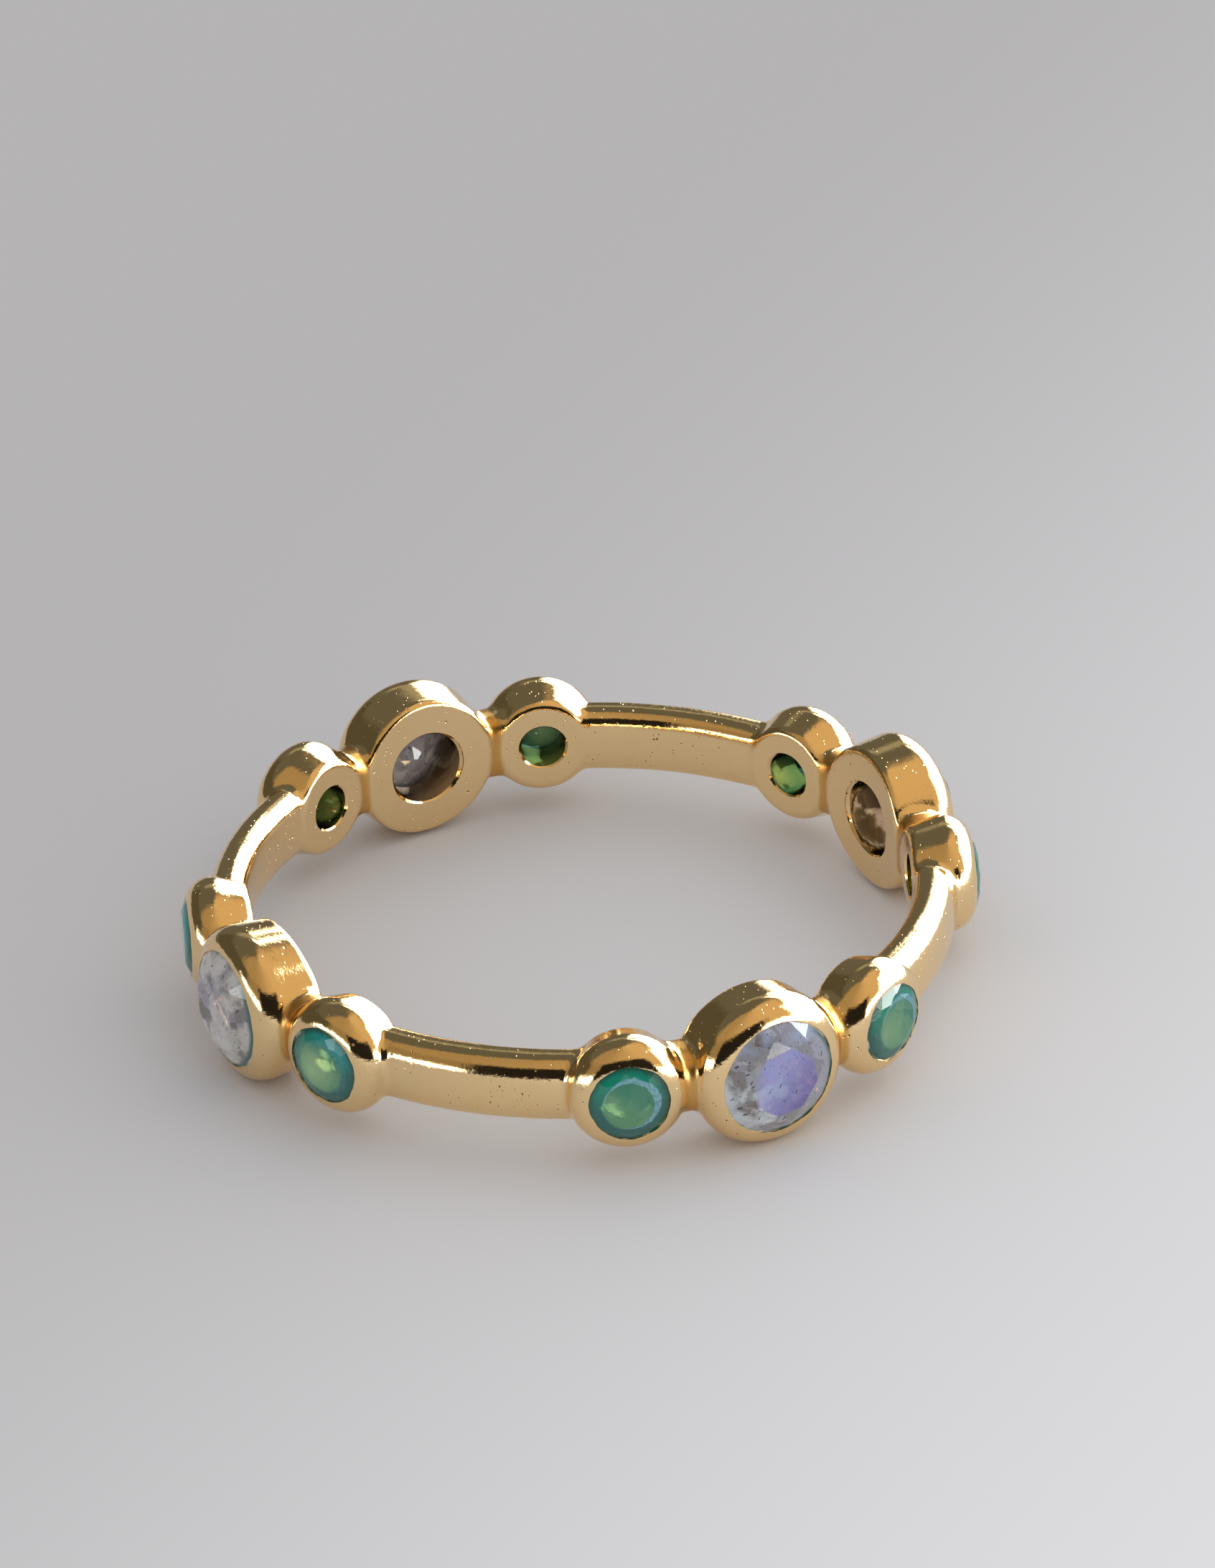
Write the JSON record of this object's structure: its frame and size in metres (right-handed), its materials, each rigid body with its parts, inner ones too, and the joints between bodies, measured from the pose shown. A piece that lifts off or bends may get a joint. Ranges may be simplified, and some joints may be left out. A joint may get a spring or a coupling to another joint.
{
  "type": "stackable ring",
  "caption": "Slim gold finger ring: rounded cup bezels, open at the back, each hold a round faceted stone, with plain oval bars between the groups. Worn alone or stacked.",
  "frame": {"origin": "on the ring's axis, at the height of the lowest line of the four large bezels, on which the ring lies", "axes": "+Z along the finger opening; the large settings face -Y, +X, +Y and -X"},
  "size_m": [0.0214, 0.0214, 0.0041],
  "materials": {
    "gold": "polished gold plate over a cast body, with faint brush lines and small casting pits",
    "labradorite": "faceted and polished, cloudy grey with a lavender-blue flash and dark needle inclusions",
    "green_onyx": "faceted and polished, translucent teal green"
  },
  "bodies": {
    "root": {"ring_body": "gold", "labradorite_1": "labradorite", "labradorite_2": "labradorite", "labradorite_3": "labradorite", "labradorite_4": "labradorite", "green_onyx_1": "green_onyx", "green_onyx_2": "green_onyx", "green_onyx_3": "green_onyx", "green_onyx_4": "green_onyx", "green_onyx_5": "green_onyx", "green_onyx_6": "green_onyx", "green_onyx_7": "green_onyx", "green_onyx_8": "green_onyx"}
  },
  "joints": []
}
